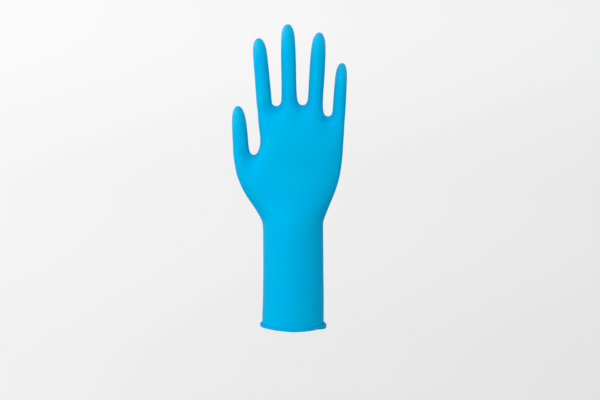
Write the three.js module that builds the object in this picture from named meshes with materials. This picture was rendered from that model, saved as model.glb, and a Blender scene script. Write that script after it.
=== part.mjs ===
// Long-cuff examination glove: one dipped film, open at the wrist, with its edge rolled into a bead.
// Millimetres. +Z runs from the wrist opening to the fingertips, +X towards the little finger, and the
// nearer face looks along -Y. The origin is the centre of the opening, level with the bead's underside.

import * as THREE from "three";

// Film and rolled bead
const WALL = 1.0;
const BEAD = { height: 3.2, depth: 3.0, steps: 6 };

// Thumb, index, middle, ring and little finger, from left to right. base and tip are on the centre line,
// and the half widths are where the finger leaves the hand and where its rounded tip starts.
const FINGERS = [
  { baseX: -51.3, tipX: -54.6, tipZ: 218.3, baseHalf: 8.2, tipHalf: 7.3, tipLength: 17 },
  { baseX: -28.5, tipX: -34.0, tipZ: 285.1, baseHalf: 7.7, tipHalf: 7.1, tipLength: 18 },
  { baseX: -3.9, tipX: -5.7, tipZ: 299.0, baseHalf: 7.7, tipHalf: 7.1, tipLength: 19 },
  { baseX: 21.4, tipX: 25.8, tipZ: 290.9, baseHalf: 7.8, tipHalf: 7.3, tipLength: 19 },
  { baseX: 44.9, tipX: 48.3, tipZ: 260.7, baseHalf: 6.5, tipHalf: 5.8, tipLength: 15 },
];

// The four webs between those fingers, from left to right: how high the film reaches and its round bottom
const WEBS = [
  { x: -37.8, z: 169.4, radius: 5.2 },
  { x: -16.8, z: 217.8, radius: 5.1 },
  { x: 9.3, z: 218.8, radius: 4.8 },
  { x: 34.4, z: 208.0, radius: 4.3 },
];

// Rings up each finger: on the shaft, by how far they climb from the base to the rounded tip, and on the
// tip, by the angle from its end
const SHAFT_RINGS = [
  { climb: 0.16 },
  { climb: 0.55 },
];
const TIP_RINGS = [
  { angle: 90 },
  { angle: 52 },
  { angle: 24 },
];

// Sections of the hand between the finger webs and the thumb web. fall is how far down that stretch,
// and joined is how far the ridges of the fingers have sunk into one smooth section.
const KNUCKLE_SECTIONS = [
  { fall: 0.18, left: -35.3, right: 50.9, halfDepth: 10.7, squareness: 2.6, joined: 0.7, spread: 0.3 },
  { fall: 0.6, left: -33.7, right: 49.9, halfDepth: 14.3, squareness: 2.9, joined: 0.98, spread: 0.9 },
  { fall: 1.0, left: -36.6, right: 48.9, halfDepth: 16.3, squareness: 3.0, joined: 1.0, spread: 1.0 },
];

// Sections of the hand and cuff below the thumb web
const HAND_SECTIONS = [
  { z: 160.0, left: -58.1, right: 47.7, halfDepth: 16.8, squareness: 2.9, joined: 0.55, spread: 0.1 },
  { z: 146.0, left: -54.8, right: 45.3, halfDepth: 18.2, squareness: 2.65, joined: 0.95, spread: 0.3 },
  { z: 131.0, left: -47.8, right: 40.6, halfDepth: 20.7, squareness: 2.35, joined: 1.0, spread: 0.55 },
  { z: 117.5, left: -38.5, right: 34.9, halfDepth: 24.4, squareness: 2.1, joined: 1.0, spread: 0.8 },
  { z: 106.0, left: -32.1, right: 30.6, halfDepth: 27.7, squareness: 2.0, joined: 1.0, spread: 0.95 },
  { z: 95.0, left: -30.0, right: 29.5, halfDepth: 29.2, squareness: 2.0, joined: 1.0, spread: 1.0 },
  { z: 55.0, left: -29.7, right: 30.1, halfDepth: 29.8, squareness: 2.0, joined: 1.0, spread: 1.0 },
];
const CUFF_END = { left: -30.9, right: 30.2, halfDepth: 30.4, squareness: 2.0, joined: 1.0, spread: 1.0 };

// Shape shared by all fingers and webs
const FINGER_DEPTH_RATIO = 1.06;
const WEB_FOOT = 0.72;
const WEB_DEPTH_RATIO = 0.45;
const WEB_DROP = 2.0;

// Smoothing
const SETTLE_ROUNDS = 2;
const SUBDIVISIONS = 1;

// Colour and finish
const FILM_COLOUR = 0x009ed2;
const FILM_ROUGHNESS = 0.4;

// A finger's eight spokes, clockwise seen from its tip and starting on its right side
const RIGHT = 0;
const FRONT_RIGHT = 1;
const FRONT = 2;
const FRONT_LEFT = 3;
const LEFT = 4;
const BACK_LEFT = 5;
const BACK = 6;
const BACK_RIGHT = 7;
const SPOKES = 8;

const lerp = THREE.MathUtils.lerp;

// The cage: points that the smooth film passes through, joined by four-sided faces seen from outside
const points = [];
const quads = [];

function addPoint(x, y, z) {
  points.push(new THREE.Vector3(x, y, z));
  return points.length - 1;
}

// How far above its lowest point a round web bottom stands at the foot of each finger
function footRise(web) {
  return web.radius * (1 - Math.sqrt(1 - WEB_FOOT * WEB_FOOT));
}

// Height where each side of a finger starts. The free side of an outer finger is level with its web.
function baseHeights(index) {
  const leftWeb = WEBS[index - 1];
  const rightWeb = WEBS[index];
  const left = index > 1 ? leftWeb : rightWeb;
  const right = rightWeb ?? leftWeb;
  return { left: left.z + footRise(left), right: right.z + footRise(right) };
}

function spokeBaseHeight(index, spoke) {
  const heights = baseHeights(index);
  const middle = (heights.left + heights.right) / 2;
  const lean = (heights.right - heights.left) / 2;
  return middle + lean * Math.cos((spoke * 2 * Math.PI) / SPOKES);
}

// Half width of a finger at a height, from its tapering shaft and its rounded tip
function fingerHalfWidth(finger, z, baseZ) {
  const below = finger.tipZ - z;
  if (below < finger.tipLength) {
    const rise = 1 - below / finger.tipLength;
    return finger.tipHalf * Math.sqrt(1 - rise * rise);
  }
  const shaft = finger.tipZ - finger.tipLength - baseZ;
  return lerp(finger.tipHalf, finger.baseHalf, (below - finger.tipLength) / shaft);
}

function spokePoint(index, spoke, z) {
  const finger = FINGERS[index];
  const baseZ = spokeBaseHeight(index, FRONT);
  const centre = lerp(finger.baseX, finger.tipX, (z - baseZ) / (finger.tipZ - baseZ));
  const half = fingerHalfWidth(finger, z, baseZ);
  const angle = (spoke * 2 * Math.PI) / SPOKES;
  return addPoint(centre + half * Math.cos(angle), -FINGER_DEPTH_RATIO * half * Math.sin(angle), z);
}

// A point in the bottom of a web, on the left or right foot and on the front, middle or back
function webPoint(web, side, face, halfDepth) {
  const x = web.x + side * web.radius * WEB_FOOT;
  const z = web.z + footRise(web) - Math.abs(face) * WEB_DROP;
  return addPoint(x, face * WEB_DEPTH_RATIO * halfDepth, z);
}

// The ring where a finger leaves the hand, with its feet in the webs beside it
function baseRing(index) {
  const leftWeb = index > 1 ? WEBS[index - 1] : undefined;
  const rightWeb = WEBS[index];
  const halfDepth = FINGERS[index].baseHalf * FINGER_DEPTH_RATIO;
  const ring = [];
  for (let spoke = 0; spoke < SPOKES; spoke += 1) {
    const across = Math.cos((spoke * 2 * Math.PI) / SPOKES);
    const face = -Math.sign(Math.round(Math.sin((spoke * 2 * Math.PI) / SPOKES)));
    const onMiddle = spoke === FRONT || spoke === BACK;
    const web = across > 0 ? rightWeb : leftWeb;
    if (web && !onMiddle) {
      ring.push(webPoint(web, -Math.sign(across), face, halfDepth));
    } else {
      ring.push(spokePoint(index, spoke, spokeBaseHeight(index, spoke)));
    }
  }
  return ring;
}

function shaftRing(index, climb) {
  const finger = FINGERS[index];
  const ring = [];
  for (let spoke = 0; spoke < SPOKES; spoke += 1) {
    const z = lerp(spokeBaseHeight(index, spoke), finger.tipZ - finger.tipLength, climb);
    ring.push(spokePoint(index, spoke, z));
  }
  return ring;
}

function tipRing(index, angle) {
  const finger = FINGERS[index];
  const z = finger.tipZ - finger.tipLength * (1 - Math.cos(THREE.MathUtils.degToRad(angle)));
  const ring = [];
  for (let spoke = 0; spoke < SPOKES; spoke += 1) {
    ring.push(spokePoint(index, spoke, z));
  }
  return ring;
}

// Faces round a tube between a lower and an upper ring, both clockwise seen from above
function joinRings(lower, upper) {
  lower.forEach((corner, spoke) => {
    const next = (spoke + 1) % lower.length;
    quads.push([lower[next], corner, upper[spoke], upper[next]]);
  });
}

// Four faces that close the end of a finger round its tip point
function closeTip(ring, tip) {
  for (let spoke = FRONT_RIGHT; spoke < SPOKES; spoke += 2) {
    quads.push([tip, ring[(spoke + 1) % SPOKES], ring[spoke], ring[spoke - 1]]);
  }
}

// One finger from its base ring up, and the base ring for the webs and the hand
function addFinger(finger, index) {
  const base = baseRing(index);
  const rings = [
    base,
    ...SHAFT_RINGS.map((row) => shaftRing(index, row.climb)),
    ...TIP_RINGS.map((row) => tipRing(index, row.angle)),
  ];
  for (let ring = 1; ring < rings.length; ring += 1) {
    joinRings(rings[ring - 1], rings[ring]);
  }
  closeTip(rings.at(-1), addPoint(finger.tipX, 0, finger.tipZ));
  return base;
}

// The saddle between two neighbouring fingers: three feet on its left and three on its right,
// from the front to the back
function addWeb(leftFeet, rightFeet) {
  for (let row = 0; row < 2; row += 1) {
    quads.push([leftFeet[row], rightFeet[row], rightFeet[row + 1], leftFeet[row + 1]]);
  }
}

function leftFeetOf(base) {
  return [base[FRONT_RIGHT], base[RIGHT], base[BACK_RIGHT]];
}

function rightFeetOf(base) {
  return [base[FRONT_LEFT], base[LEFT], base[BACK_LEFT]];
}

// A closed section of the hand, anticlockwise seen from above: its left edge, front, right edge and back
function loopOf(leftEdge, bases, rightEdge) {
  const front = bases.flatMap((base) => [base[FRONT_LEFT], base[FRONT], base[FRONT_RIGHT]]);
  const back = bases.flatMap((base) => [base[BACK_LEFT], base[BACK], base[BACK_RIGHT]]);
  return { leftEdge, front, rightEdge, back };
}

function cornersOf(loop) {
  return [loop.leftEdge, ...loop.front, loop.rightEdge, ...loop.back.toReversed()];
}

function joinLoops(upper, lower) {
  const top = cornersOf(upper);
  const bottom = cornersOf(lower);
  bottom.forEach((corner, place) => {
    const next = (place + 1) % bottom.length;
    quads.push([corner, bottom[next], top[next], top[place]]);
  });
}

// Half depth of a section at a place across it, from -1 on its left edge to 1 on its right edge
function depthAcross(section, place) {
  const power = section.squareness;
  return section.halfDepth * (1 - Math.abs(place) ** power) ** (1 / power);
}

// A section below a top loop. Each column keeps its place across the hand and drifts to an even spacing
// as spread grows, while its depth goes from the top loop's own to the smooth section's as joined grows.
function sectionLoop(top, topSection, section, heightOf) {
  const middle = (section.left + section.right) / 2;
  const half = (section.right - section.left) / 2;
  const topMiddle = (topSection.left + topSection.right) / 2;
  const topHalf = (topSection.right - topSection.left) / 2;
  const place = (corner, column) => {
    const start = THREE.MathUtils.clamp((points[corner].x - topMiddle) / topHalf, -1, 1);
    const even = -Math.cos((Math.PI * (column + 1)) / (top.front.length + 1));
    const across = lerp(start, even, section.spread);
    const depth = lerp(Math.abs(points[corner].y), depthAcross(section, across), section.joined);
    return addPoint(middle + half * across, Math.sign(points[corner].y) * depth, heightOf(corner));
  };
  return {
    leftEdge: addPoint(section.left, 0, heightOf(top.leftEdge)),
    front: top.front.map(place),
    rightEdge: addPoint(section.right, 0, heightOf(top.rightEdge)),
    back: top.back.map(place),
  };
}

// The hand from the finger webs down to the thumb web
function addKnuckles(bases) {
  const thumbWeb = WEBS[0];
  const top = loopOf(bases[0][LEFT], bases, bases.at(-1)[RIGHT]);
  const topSection = { left: points[top.leftEdge].x, right: points[top.rightEdge].x };
  const level = thumbWeb.z + footRise(thumbWeb);
  let loop = top;
  for (const section of KNUCKLE_SECTIONS) {
    const heightOf = (corner) => lerp(points[corner].z, level, section.fall);
    const next = sectionLoop(top, topSection, section, heightOf);
    joinLoops(loop, next);
    loop = next;
  }
  points[loop.front[0]].z -= WEB_DROP;
  points[loop.back[0]].z -= WEB_DROP;
  return loop;
}

// The hand and cuff below the thumb web
function addHandAndCuff(thumbBase, palm, rimZ) {
  const top = {
    leftEdge: thumbBase[LEFT],
    front: [thumbBase[FRONT_LEFT], thumbBase[FRONT], thumbBase[FRONT_RIGHT], ...palm.front],
    rightEdge: palm.rightEdge,
    back: [thumbBase[BACK_LEFT], thumbBase[BACK], thumbBase[BACK_RIGHT], ...palm.back],
  };
  const topSection = { left: points[top.leftEdge].x, right: points[top.rightEdge].x };
  let loop = top;
  for (const section of [...HAND_SECTIONS, { ...CUFF_END, z: rimZ }]) {
    const next = sectionLoop(top, topSection, section, () => section.z);
    joinLoops(loop, next);
    loop = next;
  }
}

// Neighbours of each point: those along edges, those across faces and, on the open rim, the two beside it
function linksOf(count, faces) {
  const links = Array.from({ length: count }, () => ({ edge: new Set(), across: [], rim: [] }));
  const sides = new Map();
  for (const face of faces) {
    face.forEach((corner, place) => {
      const next = face[(place + 1) % 4];
      links[corner].edge.add(next);
      links[next].edge.add(corner);
      links[corner].across.push(face[(place + 2) % 4]);
      sides.set(`${corner},${next}`, [corner, next]);
    });
  }
  for (const [start, end] of sides.values()) {
    if (!sides.has(`${end},${start}`)) {
      links[start].rim.push(end);
      links[end].rim.push(start);
    }
  }
  return links;
}

function sumOf(cage, corners) {
  return [...corners].reduce((sum, corner) => sum.add(cage[corner]), new THREE.Vector3());
}

// Where the smooth surface of a cage lies over each of its points (Catmull-Clark limit weights)
function smoothPoints(cage, links) {
  return cage.map((point, corner) => {
    const { edge, across, rim } = links[corner];
    if (rim.length > 0) {
      return point.clone().multiplyScalar(4).add(sumOf(cage, rim)).divideScalar(6);
    }
    const valence = edge.size;
    const sum = point.clone().multiplyScalar(valence * valence);
    sum.addScaledVector(sumOf(cage, edge), 4).add(sumOf(cage, across));
    return sum.divideScalar(valence * (valence + 5));
  });
}

// The cage whose smooth surface passes through the given points
function cageThrough(targets, faces) {
  const links = linksOf(targets.length, faces);
  const cage = targets.map((target) => target.clone());
  for (let round = 0; round < SETTLE_ROUNDS; round += 1) {
    const smooth = smoothPoints(cage, links);
    cage.forEach((point, corner) => point.add(targets[corner]).sub(smooth[corner]));
  }
  return cage;
}

// One step of Catmull-Clark subdivision: each face becomes four
function subdivide(cage, faces) {
  const links = linksOf(cage.length, faces);
  const finer = [];
  const faceCentres = faces.map((face) => {
    finer.push(sumOf(cage, face).divideScalar(4));
    return finer.length - 1;
  });
  const edges = new Map();
  const edgeOf = (start, end) => {
    const key = start < end ? `${start},${end}` : `${end},${start}`;
    if (!edges.has(key)) {
      edges.set(key, { start, end, centres: [] });
    }
    return edges.get(key);
  };
  faces.forEach((face, index) => {
    face.forEach((corner, place) => edgeOf(corner, face[(place + 1) % 4]).centres.push(faceCentres[index]));
  });
  for (const edge of edges.values()) {
    const middle = cage[edge.start].clone().add(cage[edge.end]);
    const inner = edge.centres.length === 2;
    const sum = inner ? middle.add(sumOf(finer, edge.centres)).divideScalar(4) : middle.divideScalar(2);
    edge.middle = finer.push(sum) - 1;
  }
  const touching = cage.map(() => []);
  faces.forEach((face, index) => face.forEach((corner) => touching[corner].push(faceCentres[index])));
  const cornerPoints = cage.map((point, corner) => {
    const { edge, rim } = links[corner];
    const valence = edge.size;
    const moved = rim.length > 0
      ? point.clone().multiplyScalar(6).add(sumOf(cage, rim)).divideScalar(8)
      : point.clone().multiplyScalar(valence * (valence - 2)).add(sumOf(cage, edge))
        .add(sumOf(finer, touching[corner])).divideScalar(valence * valence);
    return finer.push(moved) - 1;
  });
  const finerFaces = faces.flatMap((face, index) => face.map((corner, place) => {
    const after = edgeOf(corner, face[(place + 1) % 4]).middle;
    const before = edgeOf(face[(place + 3) % 4], corner).middle;
    return [cornerPoints[corner], after, faceCentres[index], before];
  }));
  return { cage: finer, faces: finerFaces };
}

function outwardNormals(surface, faces) {
  const normals = surface.map(() => new THREE.Vector3());
  for (const [a, b, c, d] of faces) {
    const first = surface[c].clone().sub(surface[a]);
    const second = surface[d].clone().sub(surface[b]);
    const normal = first.cross(second);
    for (const corner of [a, b, c, d]) {
      normals[corner].add(normal);
    }
  }
  return normals.map((normal) => normal.normalize());
}

// The open rim as one loop of points, in the order of its faces
function rimLoop(links, faces) {
  const nextOnRim = new Map();
  for (const face of faces) {
    face.forEach((corner, place) => {
      const next = face[(place + 1) % 4];
      if (links[corner].rim.includes(next)) {
        nextOnRim.set(corner, next);
      }
    });
  }
  const loop = [nextOnRim.keys().next().value];
  while (loop.length < nextOnRim.size) {
    loop.push(nextOnRim.get(loop.at(-1)));
  }
  return loop;
}

// Section of the bead, an oval flush with the inside of the film. It runs from where the film's outer face
// meets it, round outside and below, to just before its inner face. out is measured from the outer face.
function beadSection() {
  const centreOut = BEAD.depth / 2 - WALL;
  const start = Math.acos(-centreOut / (BEAD.depth / 2));
  const sweep = start + Math.PI;
  const section = [];
  for (let step = 0; step < BEAD.steps; step += 1) {
    const angle = start - (sweep * step) / BEAD.steps;
    const out = centreOut + (BEAD.depth / 2) * Math.cos(angle);
    section.push({ out, height: (BEAD.height / 2) * (1 + Math.sin(angle)) });
  }
  return section;
}

// The closed film: outer face, inner face one wall inside it, and the bead that joins them at the rim
function filmGeometry() {
  const section = beadSection();
  const bases = FINGERS.map(addFinger);
  for (let web = 1; web < WEBS.length; web += 1) {
    addWeb(leftFeetOf(bases[web]), rightFeetOf(bases[web + 1]));
  }
  const palm = addKnuckles(bases.slice(1));
  addWeb(leftFeetOf(bases[0]), [palm.front[0], palm.leftEdge, palm.back[0]]);
  addHandAndCuff(bases[0], palm, section[0].height);

  let mesh = { cage: cageThrough(points, quads), faces: quads };
  for (let step = 0; step < SUBDIVISIONS; step += 1) {
    mesh = subdivide(mesh.cage, mesh.faces);
  }
  const { cage, faces } = mesh;
  const links = linksOf(cage.length, faces);
  const outer = smoothPoints(cage, links);
  const normals = outwardNormals(outer, faces);
  const inner = outer.map((point, corner) => point.clone().addScaledVector(normals[corner], -WALL));
  const rim = rimLoop(links, faces);

  const solid = [...outer, ...inner];
  const solidFaces = [...faces];
  for (const [a, b, c, d] of faces) {
    solidFaces.push([d + outer.length, c + outer.length, b + outer.length, a + outer.length]);
  }
  const outwards = rim.map((corner) => normals[corner].clone().setZ(0).normalize());
  let ring = rim;
  for (let step = 1; step <= BEAD.steps; step += 1) {
    let next = rim.map((corner) => corner + outer.length);
    if (step < BEAD.steps) {
      const { out, height } = section[step];
      next = rim.map((corner, place) => {
        return solid.push(outer[corner].clone().addScaledVector(outwards[place], out).setZ(height)) - 1;
      });
    }
    next.forEach((corner, place) => {
      const after = (place + 1) % next.length;
      solidFaces.push([corner, next[after], ring[after], ring[place]]);
    });
    ring = next;
  }
  // The inner face ends level with the middle of the bead
  ring.forEach((corner) => solid[corner].setZ(BEAD.height / 2));
  return facetedGeometry(solid, solidFaces);
}

// Each four-sided face is split along its shorter diagonal
function facetedGeometry(solid, faces) {
  const triangles = faces.flatMap(([a, b, c, d]) => {
    const across = solid[a].distanceTo(solid[c]) <= solid[b].distanceTo(solid[d]);
    return across ? [a, b, c, a, c, d] : [a, b, d, b, c, d];
  });
  const geometry = new THREE.BufferGeometry();
  const positions = solid.flatMap((point) => point.toArray());
  geometry.setAttribute("position", new THREE.Float32BufferAttribute(positions, 3));
  geometry.setIndex(triangles);
  geometry.computeVertexNormals();
  return geometry;
}

const film = new THREE.MeshStandardMaterial({
  color: FILM_COLOUR,
  roughness: FILM_ROUGHNESS,
  metalness: 0,
});
const glove = new THREE.Mesh(filmGeometry(), film);
glove.name = "glove";

const group = new THREE.Group();
group.add(glove);

export default group;
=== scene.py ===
"""Looks of a long-cuff examination glove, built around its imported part.

The visible piece is the dipped film itself, from the fingertips to the rolled bead round the wrist
opening. Lengths in the shape tables are millimetres in the part's own axes, and MM turns them into
metres when a mesh is made. Everything else is in metres.
"""

import math
from types import SimpleNamespace

import bpy
import numpy as np
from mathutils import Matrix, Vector, noise


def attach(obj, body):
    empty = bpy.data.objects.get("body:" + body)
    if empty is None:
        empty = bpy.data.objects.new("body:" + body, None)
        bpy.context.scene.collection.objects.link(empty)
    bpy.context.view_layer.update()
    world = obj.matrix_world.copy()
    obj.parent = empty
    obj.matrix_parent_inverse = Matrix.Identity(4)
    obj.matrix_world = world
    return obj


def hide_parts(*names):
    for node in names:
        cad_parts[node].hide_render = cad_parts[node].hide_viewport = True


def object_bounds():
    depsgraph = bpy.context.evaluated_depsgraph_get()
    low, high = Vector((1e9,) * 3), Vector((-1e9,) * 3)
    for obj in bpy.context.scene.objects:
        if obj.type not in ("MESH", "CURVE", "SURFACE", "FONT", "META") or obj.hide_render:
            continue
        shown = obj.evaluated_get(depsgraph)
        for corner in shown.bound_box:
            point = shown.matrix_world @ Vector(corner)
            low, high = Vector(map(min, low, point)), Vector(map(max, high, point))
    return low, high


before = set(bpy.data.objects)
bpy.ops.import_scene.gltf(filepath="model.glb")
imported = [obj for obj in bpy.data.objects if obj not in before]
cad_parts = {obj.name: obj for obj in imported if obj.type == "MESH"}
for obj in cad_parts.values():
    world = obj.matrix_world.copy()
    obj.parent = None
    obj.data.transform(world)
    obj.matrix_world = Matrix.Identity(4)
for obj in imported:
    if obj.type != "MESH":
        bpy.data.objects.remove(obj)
cad_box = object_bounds()
scene = bpy.context.scene

MM = 0.001


def table(columns, *rows):
    """Rows of numbers as records with named columns."""
    names = columns.split()
    return [SimpleNamespace(**dict(zip(names, row))) for row in rows]


# Thumb, index, middle, ring and little finger. base and tip are on the centre line, and the half widths
# are where the finger leaves the hand and where its rounded tip starts. A roundness of 2 is an oval tip,
# and more is blunter.
FINGERS = table(
    "base_x tip_x tip_z base_half tip_half tip_length roundness",
    (-51.3, -54.8, 218.3, 8.2, 7.3, 17.0, 2.00),
    (-28.5, -34.2, 285.1, 7.7, 7.2, 18.0, 2.20),
    (-3.9, -5.5, 299.0, 7.7, 7.1, 19.0, 2.30),
    (21.4, 25.8, 290.9, 7.8, 7.3, 19.0, 2.15),
    (44.9, 48.3, 260.7, 6.5, 5.8, 15.0, 2.10),
)

# The four webs between those fingers: how high the film reaches there, and its round bottom
WEBS = table(
    "x z radius",
    (-37.8, 169.4, 5.2),
    (-16.8, 217.8, 5.1),
    (9.3, 218.8, 4.8),
    (34.4, 208.0, 4.3),
)

# Rings up a finger: on the shaft by how far they climb, and on the tip by the angle from its end
SHAFT_CLIMBS = (0.16, 0.55)
TIP_ANGLES = (90.0, 52.0, 24.0)

# Sections between the finger webs and the thumb web. fall is how far down that stretch, joined is how far
# the fingers' ridges have sunk into one smooth section, and spread how evenly its columns are spaced.
KNUCKLE_SECTIONS = table(
    "fall left right half_depth squareness joined spread",
    (0.09, -35.6, 51.2, 9.6, 2.60, 0.32, 0.08),
    (0.20, -35.2, 50.9, 10.9, 2.60, 0.78, 0.30),
    (0.46, -34.2, 50.3, 13.4, 2.80, 0.97, 0.80),
    (0.78, -32.7, 49.5, 15.5, 3.00, 1.00, 1.00),
    (1.00, -36.6, 48.9, 16.3, 3.00, 1.00, 1.00),
)

# Sections of the hand and cuff below the thumb web, down to the bead
HAND_SECTIONS = table(
    "z left right half_depth squareness joined spread",
    (160.0, -58.1, 47.7, 16.8, 2.90, 0.55, 0.10),
    (146.0, -54.8, 45.3, 18.2, 2.65, 0.95, 0.30),
    (131.0, -47.8, 40.6, 20.7, 2.35, 1.00, 0.55),
    (117.5, -38.5, 34.9, 24.4, 2.10, 1.00, 0.80),
    (106.0, -32.1, 30.6, 27.7, 2.00, 1.00, 0.95),
    (95.0, -30.0, 29.5, 29.2, 2.00, 1.00, 1.00),
    (55.0, -29.7, 30.1, 29.8, 2.00, 1.00, 1.00),
    (3.2, -30.9, 30.2, 30.4, 2.00, 1.00, 1.00),
)

# Shape shared by all fingers and webs
FINGER_DEPTH_RATIO = 1.06
WEB_FOOT = 0.72
WEB_DEPTH_RATIO = 0.28
WEB_DROP = 2.0

# Film thickness, how closely the surface keeps to the tables, and how finely it is divided
FILM_THICKNESS = 0.4
SETTLE_ROUNDS = 2
FILM_LEVELS = 3

# Rolled bead, an oval roll that stands out from the film, by its angle round the opening. It is rolled more
# thickly at the two sides, and 0 is the little finger's side, -90 the nearer face and 90 the far one.
BEAD_SECTIONS = table(
    "angle underside height out",
    (-180, 0.3, 3.4, 2.15),
    (-158, 0.7, 2.9, 2.05),
    (-138, 0.8, 2.3, 2.00),
    (-112, 0.1, 2.2, 1.95),
    (-88, -0.5, 2.4, 1.95),
    (-62, -0.2, 2.4, 2.00),
    (-42, 0.3, 2.8, 2.20),
    (-26, -0.6, 4.1, 2.60),
    (-8, -1.5, 5.0, 2.85),
    (14, -0.8, 4.2, 2.40),
    (36, 0.2, 3.0, 2.00),
    (70, 0.1, 2.7, 1.95),
    (104, 0.2, 2.9, 2.00),
    (136, 0.6, 2.7, 1.90),
    (160, 0.9, 3.2, 1.95),
)

# Where round its section the bead leaves the film, and how finely the rest of the section is divided
CREASE_ANGLE = 172.0
BEAD_STEPS = 24

# Height over which the film above the bead follows its uneven crease
CREASE_REACH = 22.0

# Slow unevenness of the stretched film
RELIEF = table(
    "length depth offset",
    (42.0, 0.30, 3.7),
    (17.0, 0.10, 11.3),
)

# How far down from its end a fingertip carries its fine grip texture
GRIP_LENGTH = 30.0

# A finger's eight spokes, clockwise seen from its tip and starting on its right side
SPOKES = 8
RIGHT, FRONT_RIGHT, FRONT, FRONT_LEFT, LEFT, BACK_LEFT, BACK, BACK_RIGHT = range(SPOKES)


def lerp(start, end, share):
    return start + (end - start) * share


def spoke_angle(spoke):
    return spoke * 2 * math.pi / SPOKES


class Cage:
    """Points that the film follows and the four-sided faces between them, seen from outside."""

    def __init__(self):
        self.points = []
        self.quads = []

    def add(self, x, y, z):
        self.points.append([x, y, z])
        return len(self.points) - 1

    def x(self, corner):
        return self.points[corner][0]

    def depth(self, corner):
        return self.points[corner][1]

    def height(self, corner):
        return self.points[corner][2]


def foot_rise(web):
    """How far above its lowest point a round web bottom stands at the foot of each finger."""
    return web.radius * (1 - math.sqrt(1 - WEB_FOOT * WEB_FOOT))


def webs_beside(index):
    """The webs on a finger's left and right, where the index finger's left side belongs to the hand."""
    left = WEBS[index - 1] if index > 1 else None
    right = WEBS[index] if index < len(WEBS) else None
    return left, right


def spoke_base_height(index, spoke):
    """Height where one side of a finger starts. A free side is level with the other side's web."""
    left, right = webs_beside(index)
    left_z = (left or right).z + foot_rise(left or right)
    right_z = (right or left).z + foot_rise(right or left)
    return (left_z + right_z) / 2 + (right_z - left_z) / 2 * math.cos(spoke_angle(spoke))


def finger_half_width(finger, z, base_z):
    """Half width at a height, from the tapering shaft and the rounded tip."""
    below = finger.tip_z - z
    if below < finger.tip_length:
        rise = 1 - below / finger.tip_length
        return finger.tip_half * (1 - rise ** finger.roundness) ** (1 / finger.roundness)
    shaft = finger.tip_z - finger.tip_length - base_z
    return lerp(finger.tip_half, finger.base_half, (below - finger.tip_length) / shaft)


def spoke_point(cage, index, spoke, z):
    finger = FINGERS[index]
    base_z = spoke_base_height(index, FRONT)
    centre = lerp(finger.base_x, finger.tip_x, (z - base_z) / (finger.tip_z - base_z))
    half = finger_half_width(finger, z, base_z)
    angle = spoke_angle(spoke)
    return cage.add(centre + half * math.cos(angle), -FINGER_DEPTH_RATIO * half * math.sin(angle), z)


def web_point(cage, web, side, face, half_depth):
    """A point in the bottom of a web, on its left or right foot and on its front, middle or back."""
    x = web.x + side * web.radius * WEB_FOOT
    z = web.z + foot_rise(web) - abs(face) * WEB_DROP
    return cage.add(x, face * WEB_DEPTH_RATIO * half_depth, z)


def sign(value):
    return (value > 0) - (value < 0)


def base_ring(cage, index):
    """The ring where a finger leaves the hand, with its feet in the webs beside it."""
    left_web, right_web = webs_beside(index)
    half_depth = FINGERS[index].base_half * FINGER_DEPTH_RATIO
    ring = []
    for spoke in range(SPOKES):
        across = math.cos(spoke_angle(spoke))
        face = -sign(round(math.sin(spoke_angle(spoke))))
        web = right_web if across > 0 else left_web
        if web and spoke not in (FRONT, BACK):
            ring.append(web_point(cage, web, -sign(across), face, half_depth))
        else:
            ring.append(spoke_point(cage, index, spoke, spoke_base_height(index, spoke)))
    return ring


def add_finger(cage, index):
    """One finger from its base ring to its closed tip. Returns the base ring."""
    finger = FINGERS[index]
    base = base_ring(cage, index)
    rings = [base]
    for climb in SHAFT_CLIMBS:
        heights = [
            lerp(spoke_base_height(index, spoke), finger.tip_z - finger.tip_length, climb)
            for spoke in range(SPOKES)
        ]
        rings.append([spoke_point(cage, index, spoke, heights[spoke]) for spoke in range(SPOKES)])
    for angle in TIP_ANGLES:
        z = finger.tip_z - finger.tip_length * (1 - math.cos(math.radians(angle)))
        rings.append([spoke_point(cage, index, spoke, z) for spoke in range(SPOKES)])
    for lower, upper in zip(rings, rings[1:]):
        for spoke in range(SPOKES):
            after = (spoke + 1) % SPOKES
            cage.quads.append((lower[after], lower[spoke], upper[spoke], upper[after]))
    tip = cage.add(finger.tip_x, 0, finger.tip_z)
    last = rings[-1]
    for spoke in range(FRONT_RIGHT, SPOKES, 2):
        cage.quads.append((tip, last[(spoke + 1) % SPOKES], last[spoke], last[spoke - 1]))
    return base


def add_web(cage, left_feet, right_feet):
    """The saddle between two fingers, over three feet on each side from the front to the back."""
    for row in range(2):
        cage.quads.append((left_feet[row], right_feet[row], right_feet[row + 1], left_feet[row + 1]))


def feet(base, *spokes):
    return [base[spoke] for spoke in spokes]


def corners_of(loop):
    return [loop.left_edge, *loop.front, loop.right_edge, *reversed(loop.back)]


def join_loops(cage, upper, lower):
    top = corners_of(upper)
    bottom = corners_of(lower)
    for place, corner in enumerate(bottom):
        after = (place + 1) % len(bottom)
        cage.quads.append((corner, bottom[after], top[after], top[place]))


def depth_across(section, place):
    """Half depth of a section at a place from -1 on its left edge to 1 on its right edge."""
    power = section.squareness
    return section.half_depth * (1 - abs(place) ** power) ** (1 / power)


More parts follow.
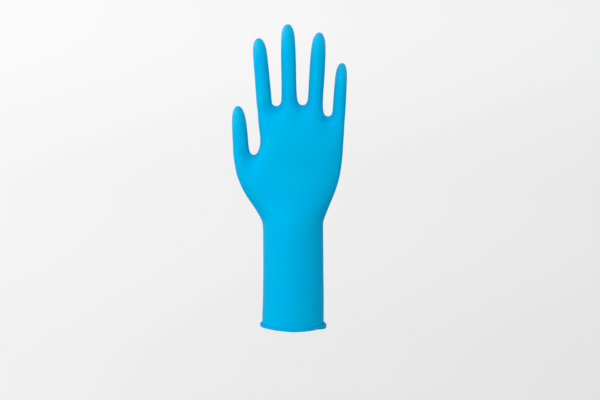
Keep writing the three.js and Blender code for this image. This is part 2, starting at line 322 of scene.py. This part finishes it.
def section_loop(cage, top, section, height_of):
    """A section below a top loop, whose columns drift from the top loop's places to an even spacing."""
    middle = (section.left + section.right) / 2
    half = (section.right - section.left) / 2
    top_left = cage.x(top.left_edge)
    top_half = (cage.x(top.right_edge) - top_left) / 2

    def place(corner, column):
        start = min(max((cage.x(corner) - top_left) / top_half - 1, -1), 1)
        even = -math.cos(math.pi * (column + 1) / (len(top.front) + 1))
        across = lerp(start, even, section.spread)
        depth = lerp(abs(cage.depth(corner)), depth_across(section, across), section.joined)
        return cage.add(middle + half * across, sign(cage.depth(corner)) * depth, height_of(corner))

    return SimpleNamespace(
        left_edge=cage.add(section.left, 0, height_of(top.left_edge)),
        front=[place(corner, column) for column, corner in enumerate(top.front)],
        right_edge=cage.add(section.right, 0, height_of(top.right_edge)),
        back=[place(corner, column) for column, corner in enumerate(top.back)],
    )


def add_sections(cage, top, sections, height_of):
    """Sections below a top loop, joined one to the next. Returns the lowest one."""
    loop = top
    for section in sections:
        lower = section_loop(cage, top, section, lambda corner: height_of(corner, section))
        join_loops(cage, loop, lower)
        loop = lower
    return loop


def add_hand(cage, bases):
    """The hand from the finger webs down to the thumb web."""
    top = SimpleNamespace(
        left_edge=bases[0][LEFT],
        front=[corner for base in bases for corner in feet(base, FRONT_LEFT, FRONT, FRONT_RIGHT)],
        right_edge=bases[-1][RIGHT],
        back=[corner for base in bases for corner in feet(base, BACK_LEFT, BACK, BACK_RIGHT)],
    )
    level = WEBS[0].z + foot_rise(WEBS[0])
    hand = add_sections(
        cage, top, KNUCKLE_SECTIONS, lambda corner, section: lerp(cage.height(corner), level, section.fall)
    )
    for corner in (hand.front[0], hand.back[0]):
        cage.points[corner][2] -= WEB_DROP
    return hand


def glove_cage():
    cage = Cage()
    bases = [add_finger(cage, index) for index in range(len(FINGERS))]
    for index in range(1, len(WEBS)):
        left = feet(bases[index], FRONT_RIGHT, RIGHT, BACK_RIGHT)
        right = feet(bases[index + 1], FRONT_LEFT, LEFT, BACK_LEFT)
        add_web(cage, left, right)
    hand = add_hand(cage, bases[1:])
    thumb = bases[0]
    add_web(cage, feet(thumb, FRONT_RIGHT, RIGHT, BACK_RIGHT), [hand.front[0], hand.left_edge, hand.back[0]])
    top = SimpleNamespace(
        left_edge=thumb[LEFT],
        front=feet(thumb, FRONT_LEFT, FRONT, FRONT_RIGHT) + hand.front,
        right_edge=hand.right_edge,
        back=feet(thumb, BACK_LEFT, BACK, BACK_RIGHT) + hand.back,
    )
    add_sections(cage, top, HAND_SECTIONS, lambda corner, section: section.z)
    return cage


def mesh_arrays(mesh):
    """A mesh's points and its four-sided faces as arrays."""
    points = np.empty(len(mesh.vertices) * 3)
    mesh.vertices.foreach_get("co", points)
    corners = np.empty(len(mesh.loops), int)
    mesh.loops.foreach_get("vertex_index", corners)
    return points.reshape(-1, 3), corners.reshape(-1, 4)


def smoothed(points, quads, levels):
    """The smooth surface of a cage, by Catmull-Clark subdivision. Its first points belong to the cage's."""
    mesh = bpy.data.meshes.new("cage")
    mesh.from_pydata(np.asarray(points).tolist(), [], [tuple(quad) for quad in quads])
    cage = bpy.data.objects.new("cage", mesh)
    scene.collection.objects.link(cage)
    modifier = cage.modifiers.new("smooth", "SUBSURF")
    modifier.levels = levels
    modifier.render_levels = levels
    modifier.boundary_smooth = "ALL"
    evaluated = cage.evaluated_get(bpy.context.evaluated_depsgraph_get())
    surface, faces = mesh_arrays(evaluated.data)
    bpy.data.objects.remove(cage)
    bpy.data.meshes.remove(mesh)
    return surface, faces


def settled(cage):
    """The cage moved so that its smooth surface comes close to the points of the tables."""
    targets = np.array(cage.points)
    points = targets.copy()
    for _ in range(SETTLE_ROUNDS):
        surface, _ = smoothed(points, cage.quads, 1)
        points += targets - surface[: len(targets)]
    return points


def outward_normals(points, faces):
    a, b, c, d = (points[faces[:, corner]] for corner in range(4))
    face_normals = np.cross(c - a, d - b)
    normals = np.zeros_like(points)
    for corner in range(4):
        np.add.at(normals, faces[:, corner], face_normals)
    return normals / np.linalg.norm(normals, axis=1, keepdims=True)


def rim_of(faces):
    """The open rim as one loop of points, in the order of its faces."""
    sides = {(int(a), int(b)) for face in faces for a, b in zip(face, np.roll(face, -1))}
    after = {a: b for a, b in sides if (b, a) not in sides}
    start = min(after)
    rim = [start]
    while after[rim[-1]] != start:
        rim.append(after[rim[-1]])
    return rim


def smooth_step(value):
    value = np.clip(value, 0, 1)
    return value * value * (3 - 2 * value)


def bead_at(angles, column):
    """One column of the bead's sections at angles in degrees, flowing smoothly from row to row."""
    marks = np.array([section.angle for section in BEAD_SECTIONS] + [BEAD_SECTIONS[0].angle + 360])
    values = [getattr(section, column) for section in BEAD_SECTIONS]
    values = np.array(values + values[:1])
    row = np.searchsorted(marks, angles, side="right") - 1
    share = smooth_step((angles - marks[row]) / (marks[row + 1] - marks[row]))
    return lerp(values[row], values[row + 1], share)


def with_relief(points, normals):
    """The film's points moved in and out by its slow unevenness."""
    moved = points.copy()
    for wave in RELIEF:
        shift = Vector((wave.offset, wave.offset, wave.offset))
        swell = [noise.noise(Vector(point) / wave.length + shift) for point in points]
        moved += normals * wave.depth * np.array(swell)[:, None]
    return moved


def grip_share(points):
    """How much of the fingertips' grip texture each point carries."""
    share = np.zeros(len(points))
    for finger in FINGERS:
        near = np.abs(points[:, 0] - finger.tip_x) < 2 * finger.tip_half
        rise = 1 - (finger.tip_z - points[:, 2]) / GRIP_LENGTH
        share = np.where(near, np.maximum(share, smooth_step(rise)), share)
    return share


class Bead:
    """The rolled bead under a rim of film, which first settles on the bead's uneven crease."""

    def __init__(self, rim_points, outwards):
        self.outwards = outwards
        angles = np.degrees(np.arctan2(rim_points[:, 1], rim_points[:, 0]))
        self.underside = bead_at(angles, "underside")
        self.middle = bead_at(angles, "height") / 2
        self.reach = bead_at(angles, "out") / 2
        self.rim_points = rim_points.copy()
        self.rim_points[:, 2] = self.height_at(math.radians(CREASE_ANGLE))

    def height_at(self, angle):
        return self.underside + self.middle * (1 + math.sin(angle))

    def rings(self):
        """Rings of points from the crease round outside and below to the inner face of the film."""
        start = math.radians(CREASE_ANGLE)
        crease_out = self.reach * (1 + math.cos(start))
        for step in range(1, BEAD_STEPS + 1):
            angle = lerp(start, -math.pi, step / BEAD_STEPS)
            reach = self.reach + FILM_THICKNESS if angle < -math.pi / 2 else self.reach
            ring = self.rim_points.copy()
            ring += self.outwards * (self.reach + reach * math.cos(angle) - crease_out)[:, None]
            ring[:, 2] = self.height_at(angle)
            yield ring


def flat_directions(normals):
    flat = normals * (1, 1, 0)
    return flat / np.linalg.norm(flat, axis=1, keepdims=True)


def follow_crease(points, rim, rise):
    """Film above the bead moved up or down with the rim point nearest round the opening."""
    angles = np.arctan2(points[:, 1], points[:, 0])
    rim_angles = angles[rim]
    order = np.argsort(rim_angles)
    change = np.interp(angles, rim_angles[order], rise[order], period=2 * math.pi)
    moved = points.copy()
    moved[:, 2] += change * smooth_step(1 - points[:, 2] / CREASE_REACH)
    return moved


def closed_surface(outer, inner, faces, rim, rings):
    """Points and faces of the film's outer and inner face, joined at the rim by the bead's rings."""
    first = len(outer) + len(inner)
    loops = [first + place * len(rim) + np.arange(len(rim)) for place in range(len(rings))]
    all_faces = [faces, faces[:, ::-1] + len(outer)]
    for upper, lower in zip([rim, *loops], [*loops, rim + len(outer)]):
        all_faces.append(np.stack([lower, np.roll(lower, -1), np.roll(upper, -1), upper], axis=1))
    return np.concatenate([outer, inner, *rings]), np.concatenate(all_faces)


def sharpen(mesh, loop):
    """Mark the edges along a closed loop of points as sharp."""
    crease = {frozenset(pair) for pair in zip(loop.tolist(), np.roll(loop, -1).tolist())}
    for edge in mesh.edges:
        edge.use_edge_sharp = frozenset(edge.vertices) in crease


def film_mesh():
    """The closed film: outer face, inner face and the bead that joins them at the rim."""
    cage = glove_cage()
    outer, faces = smoothed(settled(cage), cage.quads, FILM_LEVELS)
    outer = with_relief(outer, outward_normals(outer, faces))
    rim = np.array(rim_of(faces))
    bead = Bead(outer[rim], flat_directions(outward_normals(outer, faces)[rim]))
    outer = follow_crease(outer, rim, bead.rim_points[:, 2] - outer[rim][:, 2])
    outer[rim] = bead.rim_points
    inner = outer - outward_normals(outer, faces) * FILM_THICKNESS
    points, all_faces = closed_surface(outer, inner, faces, rim, list(bead.rings()))

    mesh = bpy.data.meshes.new("glove_film")
    mesh.from_pydata((points * MM).tolist(), [], all_faces.tolist())
    mesh.shade_smooth()
    sharpen(mesh, rim)
    inside = np.zeros(len(all_faces), int)
    inside[len(faces) : 2 * len(faces)] = 1
    mesh.polygons.foreach_set("material_index", inside)
    bead_share = np.zeros(len(points))
    bead_share[len(outer) + len(inner) :] = 1
    for name, values in (("grip", grip_share(points)), ("bead", bead_share)):
        mesh.attributes.new(name, "FLOAT", "POINT").data.foreach_set("value", values)
    mesh.update()
    return mesh


def new_material(name):
    material = bpy.data.materials.new(name)
    material.use_nodes = True
    return material, material.node_tree.nodes["Principled BSDF"]


# Places of the colours among the sockets of Blender's Mix node
MIX_FIRST = 6
MIX_SECOND = 7
MIX_RESULT = 2


class Nodes:
    """Short calls for building a material's node tree."""

    def __init__(self, material):
        self.tree = material.node_tree

    def new(self, kind, **settings):
        node = self.tree.nodes.new("ShaderNode" + kind)
        for name, value in settings.items():
            setattr(node, name, value)
        return node

    def put(self, socket, value):
        """Link an output to an input, or set the input's own number."""
        if isinstance(value, bpy.types.NodeSocket):
            self.tree.links.new(value, socket)
        else:
            socket.default_value = value

    def object_place(self):
        return self.new("TexCoord").outputs["Object"]

    def noise(self, size, detail=2.0):
        """Noise from 0 to 1 whose patches are about as large as size, in metres."""
        node = self.new("TexNoise")
        self.put(node.inputs["Vector"], self.object_place())
        self.put(node.inputs["Scale"], 1 / size)
        self.put(node.inputs["Detail"], detail)
        return node.outputs["Fac"]

    def spread(self, value, low, high, from_low=0.3, from_high=0.7):
        """A value brought from one range to another, and kept inside it."""
        node = self.new("MapRange")
        self.put(node.inputs["Value"], value)
        self.put(node.inputs["From Min"], from_low)
        self.put(node.inputs["From Max"], from_high)
        self.put(node.inputs["To Min"], low)
        self.put(node.inputs["To Max"], high)
        return node.outputs["Result"]

    def math(self, operation, first, second):
        node = self.new("Math", operation=operation)
        self.put(node.inputs[0], first)
        self.put(node.inputs[1], second)
        return node.outputs[0]

    def mix(self, share, first, second):
        """Two colours mixed by a share."""
        node = self.new("Mix", data_type="RGBA")
        self.put(node.inputs["Factor"], share)
        self.put(node.inputs[MIX_FIRST], first)
        self.put(node.inputs[MIX_SECOND], second)
        return node.outputs[MIX_RESULT]

    def attribute(self, name):
        return self.new("Attribute", attribute_name=name).outputs["Fac"]

    def bump(self, height, distance, normal=None):
        node = self.new("Bump")
        self.put(node.inputs["Height"], height)
        self.put(node.inputs["Distance"], distance)
        if normal is not None:
            self.put(node.inputs["Normal"], normal)
        return node.outputs["Normal"]


# Film: an azure that drifts a little from place to place. On the rolled bead it is a deeper blue, partly for
# the thicker rolled film and partly as painted shade. It is paler on the pebbles of its grip texture as
# painted glints, and duller inside.
FILM_BLUE = (0.0, 0.34, 0.635, 1)
FILM_BLUE_WARM = (0.0, 0.355, 0.61, 1)
# Deeper blue of the rolled bead: partly its thicker film, partly painted shade on the roll
ROLLED_AND_SHADED_BLUE = (0.0, 0.315, 0.585, 1)
# Paler blue painted on the pebble tops as glints
PAINTED_GLINT_BLUE = (0.006, 0.395, 0.60, 1)
INSIDE_BLUE = (0.03, 0.33, 0.56, 1)
INSIDE_BLUE_DEEP = (0.02, 0.30, 0.53, 1)

# How large the film's patches of colour and of gloss are, outside and inside
COLOUR_PATCH = 0.030
GLOSS_PATCH = 0.012
INSIDE_PATCH = 0.020

# Fine relief: how large its grains are and how high they stand. The pebbles of the grip texture are where
# the noise is above PEBBLE_FOOT, and they are full from PEBBLE_TOP on. ONE_OCTAVE keeps grains to one size.
PEBBLE_SIZE = 0.0013
PEBBLE_HEIGHT = 0.00012
PEBBLE_FOOT = 0.44
PEBBLE_TOP = 0.64
PEEL_SIZE = 0.0011
PEEL_HEIGHT = 0.00002
INSIDE_GRAIN_SIZE = 0.0008
INSIDE_GRAIN_HEIGHT = 0.00004
ONE_OCTAVE = 1.0

# Gloss of the smooth film, what the grip texture adds to it, and the gloss inside
ROUGHNESS_LEAST = 0.34
ROUGHNESS_MOST = 0.42
GRIP_ROUGHNESS = 0.06
FILM_SHINE = 0.004
GRIP_SHINE = 0.26
SHINE_TINT = (0.05, 0.6, 1, 1)
INSIDE_ROUGHNESS = 0.75
INSIDE_SHINE = 0.2


def film_material():
    material, shader = new_material("film")
    nodes = Nodes(material)
    drift = nodes.spread(nodes.noise(COLOUR_PATCH), 0, 1)
    colour = nodes.mix(drift, FILM_BLUE, FILM_BLUE_WARM)
    # Painted shade: the bead's points get a darker blue that stands in for the shade on the roll as well as
    # its thicker film
    colour = nodes.mix(nodes.attribute("bead"), colour, ROLLED_AND_SHADED_BLUE)
    grip = nodes.attribute("grip")
    # The pebbles' mask raises the fine bump and also paints pale glints on the pebbles through the base
    # colour
    pebbles_and_glints = nodes.spread(nodes.noise(PEBBLE_SIZE, ONE_OCTAVE), 0, 1, PEBBLE_FOOT, PEBBLE_TOP)
    pebbles_and_glints = nodes.math("MULTIPLY", pebbles_and_glints, grip)
    # Painted highlight: the pebbles get a paler blue that stands in for their glints
    nodes.put(shader.inputs["Base Color"], nodes.mix(pebbles_and_glints, colour, PAINTED_GLINT_BLUE))
    rough = nodes.spread(nodes.noise(GLOSS_PATCH), ROUGHNESS_LEAST, ROUGHNESS_MOST)
    rough = nodes.math("ADD", rough, nodes.math("MULTIPLY", grip, GRIP_ROUGHNESS))
    nodes.put(shader.inputs["Roughness"], rough)
    shine = nodes.math("ADD", nodes.math("MULTIPLY", grip, GRIP_SHINE), FILM_SHINE)
    nodes.put(shader.inputs["Specular IOR Level"], shine)
    shader.inputs["Specular Tint"].default_value = SHINE_TINT
    peel = nodes.bump(nodes.noise(PEEL_SIZE, ONE_OCTAVE), PEEL_HEIGHT)
    nodes.put(shader.inputs["Normal"], nodes.bump(pebbles_and_glints, PEBBLE_HEIGHT, peel))
    return material


def inside_material():
    material, shader = new_material("film_inside")
    nodes = Nodes(material)
    drift = nodes.spread(nodes.noise(INSIDE_PATCH), 0, 1)
    nodes.put(shader.inputs["Base Color"], nodes.mix(drift, INSIDE_BLUE, INSIDE_BLUE_DEEP))
    shader.inputs["Roughness"].default_value = INSIDE_ROUGHNESS
    shader.inputs["Specular IOR Level"].default_value = INSIDE_SHINE
    nodes.put(shader.inputs["Normal"], nodes.bump(nodes.noise(INSIDE_GRAIN_SIZE), INSIDE_GRAIN_HEIGHT))
    return material


glove = bpy.data.objects.new("glove_film", film_mesh())
scene.collection.objects.link(glove)
glove.data.materials.append(film_material())
glove.data.materials.append(inside_material())
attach(glove, "root")
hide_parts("glove")

# Studio: a round pale floor that sweeps up into an upright side and a dome, all of it softly glowing. The
# glow is strongest a little above the glove and on its left, so that the light is soft and comes from the
# side. rise is -1 straight down from the studio's middle and 1 straight up.
STUDIO_MIDDLE = Vector((0, 0, 0.12))
FLOOR_DROP = 0.65
FLOOR_RADIUS = 1.5
SWEEP_RADIUS = 0.9
SIDE_TOP = 1.5
DOME_STEPS = 12
SWEEP_STEPS = 16
ROUND_STEPS = 64
STUDIO_GREY = (0.05, 0.05, 0.05, 1)
GLOW_WHITE = (1, 1, 1, 1)
GLOW_ACROSS = -0.11
GLOW_BY_RISE = table(
    "rise glow",
    (-1.0, 0.30),
    (-0.6, 0.46),
    (-0.3, 0.775),
    (0.0, 0.815),
    (0.3, 0.875),
    (0.6, 0.75),
    (1.0, 0.60),
)


def studio_profile():
    """[radius, height] from the middle of the floor, by the sweep and the side, to the top of the dome."""
    radius = FLOOR_RADIUS + SWEEP_RADIUS
    profile = [(FLOOR_RADIUS / 2, 0.0)]
    for step in range(SWEEP_STEPS + 1):
        angle = math.pi / 2 * step / SWEEP_STEPS
        profile.append((FLOOR_RADIUS + SWEEP_RADIUS * math.sin(angle), SWEEP_RADIUS * (1 - math.cos(angle))))
    for step in range(DOME_STEPS):
        angle = math.pi / 2 * step / DOME_STEPS
        profile.append((radius * math.cos(angle), SIDE_TOP + radius * math.sin(angle)))
    return profile, SIDE_TOP + radius


def studio_floor():
    profile, top = studio_profile()
    points = [(0.0, 0.0, 0.0)]
    for radius, height in profile:
        for step in range(ROUND_STEPS):
            angle = 2 * math.pi * step / ROUND_STEPS
            points.append((radius * math.cos(angle), radius * math.sin(angle), height))
    points.append((0.0, 0.0, top))
    faces = []
    last = 1 + (len(profile) - 1) * ROUND_STEPS
    for step in range(ROUND_STEPS):
        after = (step + 1) % ROUND_STEPS
        faces.append((0, 1 + step, 1 + after))
        faces.append((len(points) - 1, last + after, last + step))
        for ring in range(len(profile) - 1):
            low = 1 + ring * ROUND_STEPS
            high = low + ROUND_STEPS
            faces.append((low + step, high + step, high + after, low + after))
    mesh = bpy.data.meshes.new("studio_floor")
    mesh.from_pydata(points, [], faces)
    mesh.shade_smooth()
    floor = bpy.data.objects.new("studio_floor", mesh)
    scene.collection.objects.link(floor)
    floor.location = (0, 0, cad_box[0].z - FLOOR_DROP)
    floor.data.materials.append(studio_material())


def studio_material():
    material, shader = new_material("pale_studio")
    nodes = Nodes(material)
    shader.inputs["Base Color"].default_value = STUDIO_GREY
    shader.inputs["Roughness"].default_value = 1
    shader.inputs["Specular IOR Level"].default_value = 0
    shader.inputs["Emission Color"].default_value = GLOW_WHITE
    away = nodes.new("VectorMath", operation="SUBTRACT")
    nodes.put(away.inputs[0], nodes.new("NewGeometry").outputs["Position"])
    nodes.put(away.inputs[1], STUDIO_MIDDLE)
    towards = nodes.new("VectorMath", operation="NORMALIZE")
    nodes.put(towards.inputs[0], away.outputs[0])
    parts = nodes.new("SeparateXYZ")
    nodes.put(parts.inputs[0], towards.outputs[0])
    ramp = nodes.new("ValToRGB")
    ramp.color_ramp.interpolation = "EASE"
    while len(ramp.color_ramp.elements) < len(GLOW_BY_RISE):
        ramp.color_ramp.elements.new(1.0)
    for stop, row in zip(ramp.color_ramp.elements, GLOW_BY_RISE):
        stop.position = (row.rise + 1) / 2
        stop.color = (row.glow, row.glow, row.glow, 1)
    nodes.put(ramp.inputs[0], nodes.spread(parts.outputs["Z"], 0, 1, -1, 1))
    glow = nodes.math("ADD", ramp.outputs[0], nodes.math("MULTIPLY", parts.outputs["X"], GLOW_ACROSS))
    nodes.put(shader.inputs["Emission Strength"], glow)
    return material


studio_floor()

# Round lights, a soft key and a side light, and the place that they aim at
LIGHT_AIM = Vector((0, 0, 0.15))
LIGHTS = table(
    "name place width power",
    ("key", (-0.36, -1.2, 0.62), 0.8, 9.2),
    ("side", (-1.28, -0.05, 1.1), 0.7, 8.0),
)


def area_light(row):
    data = bpy.data.lights.new(row.name, "AREA")
    data.shape = "DISK"
    data.size = row.width
    data.energy = row.power
    light = bpy.data.objects.new(row.name, data)
    light.location = row.place
    light.rotation_euler = (LIGHT_AIM - light.location).to_track_quat("-Z", "Y").to_euler()
    light.visible_camera = False
    scene.collection.objects.link(light)


for row in LIGHTS:
    area_light(row)

# Camera: level, and as far away as gives the photograph's view of the rim. The focal length is in pixels of
# a picture as wide as FRAME_PIXELS, and the sensor is in millimetres.
CAMERA_DISTANCE = 0.7613
CAMERA_X = 0.00665
CAMERA_Z = 0.12504
FOCAL_PIXELS = 769.0
FRAME_PIXELS = 600.0
SENSOR_WIDTH = 36.0

camera_data = bpy.data.cameras.new("camera")
camera_data.sensor_width = SENSOR_WIDTH
camera_data.lens = FOCAL_PIXELS / FRAME_PIXELS * SENSOR_WIDTH
camera = bpy.data.objects.new("camera", camera_data)
camera.location = (CAMERA_X, -CAMERA_DISTANCE, CAMERA_Z)
camera.rotation_euler = (math.pi / 2, 0, 0)
scene.collection.objects.link(camera)
scene.camera = camera

scene.view_settings.view_transform = "Standard"

bpy.context.view_layer.update()
